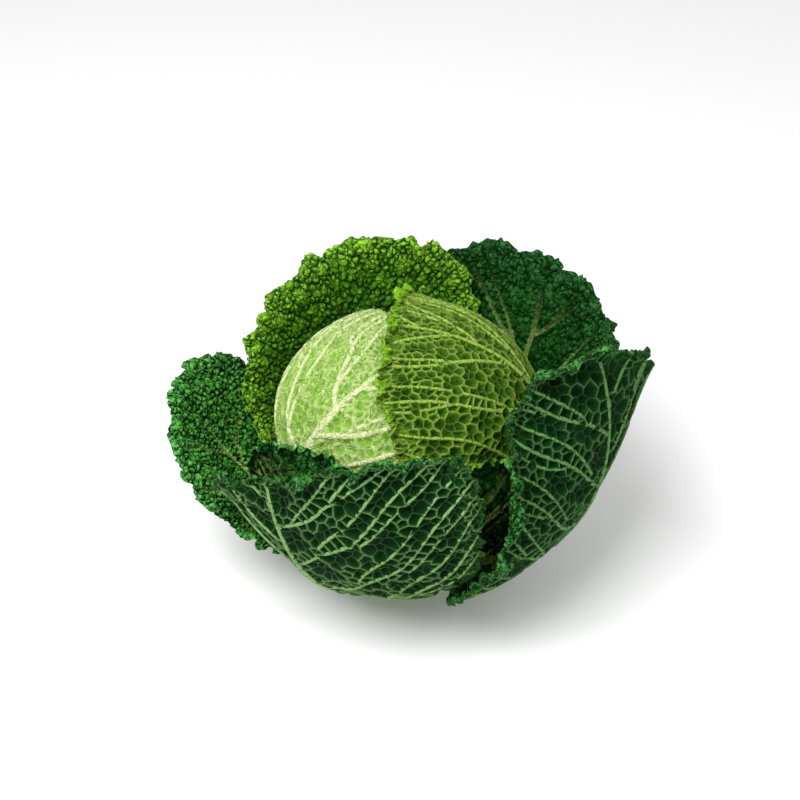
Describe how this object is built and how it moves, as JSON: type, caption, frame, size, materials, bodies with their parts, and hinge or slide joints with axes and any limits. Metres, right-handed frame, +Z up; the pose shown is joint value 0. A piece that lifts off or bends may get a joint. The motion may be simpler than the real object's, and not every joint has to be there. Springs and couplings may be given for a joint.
{
  "type": "savoy cabbage",
  "caption": "Round savoy cabbage: a closed pale head inside a whorl of opened, crinkled, frilled dark leaves, standing on its cut stem.",
  "frame": {"origin": "centre of the flat cut face of the stem, on the surface that the cabbage stands on", "axes": "+Z up through the stem and the head, -Y towards the viewer, +X to the viewer's right"},
  "size_m": [0.2925, 0.251, 0.2064],
  "materials": {
    "stalk": "moist cut stalk, matt skin",
    "heart": "pale, smooth young leaves",
    "pale_leaf": "pale green leaf, soft waxy sheen, cream veins",
    "fresh_leaf": "mid green leaf, soft waxy sheen, pale veins",
    "bright_leaf": "bright green crinkled leaf, soft waxy sheen",
    "deep_leaf": "dark green crinkled leaf, soft waxy sheen, pale veins on its back"
  },
  "bodies": {
    "root": {"stem": "stalk", "heart": "heart", "head_leaf_back": "pale_leaf", "head_leaf_left": "pale_leaf", "head_leaf_right": "fresh_leaf", "inner_leaf_front_right": "bright_leaf", "inner_leaf_front_left": "deep_leaf", "inner_leaf_back_left": "bright_leaf", "outer_leaf_front": "deep_leaf", "outer_leaf_back_right": "deep_leaf", "outer_leaf_right": "deep_leaf", "outer_leaf_left": "deep_leaf", "outer_leaf_back": "deep_leaf"}
  },
  "joints": []
}
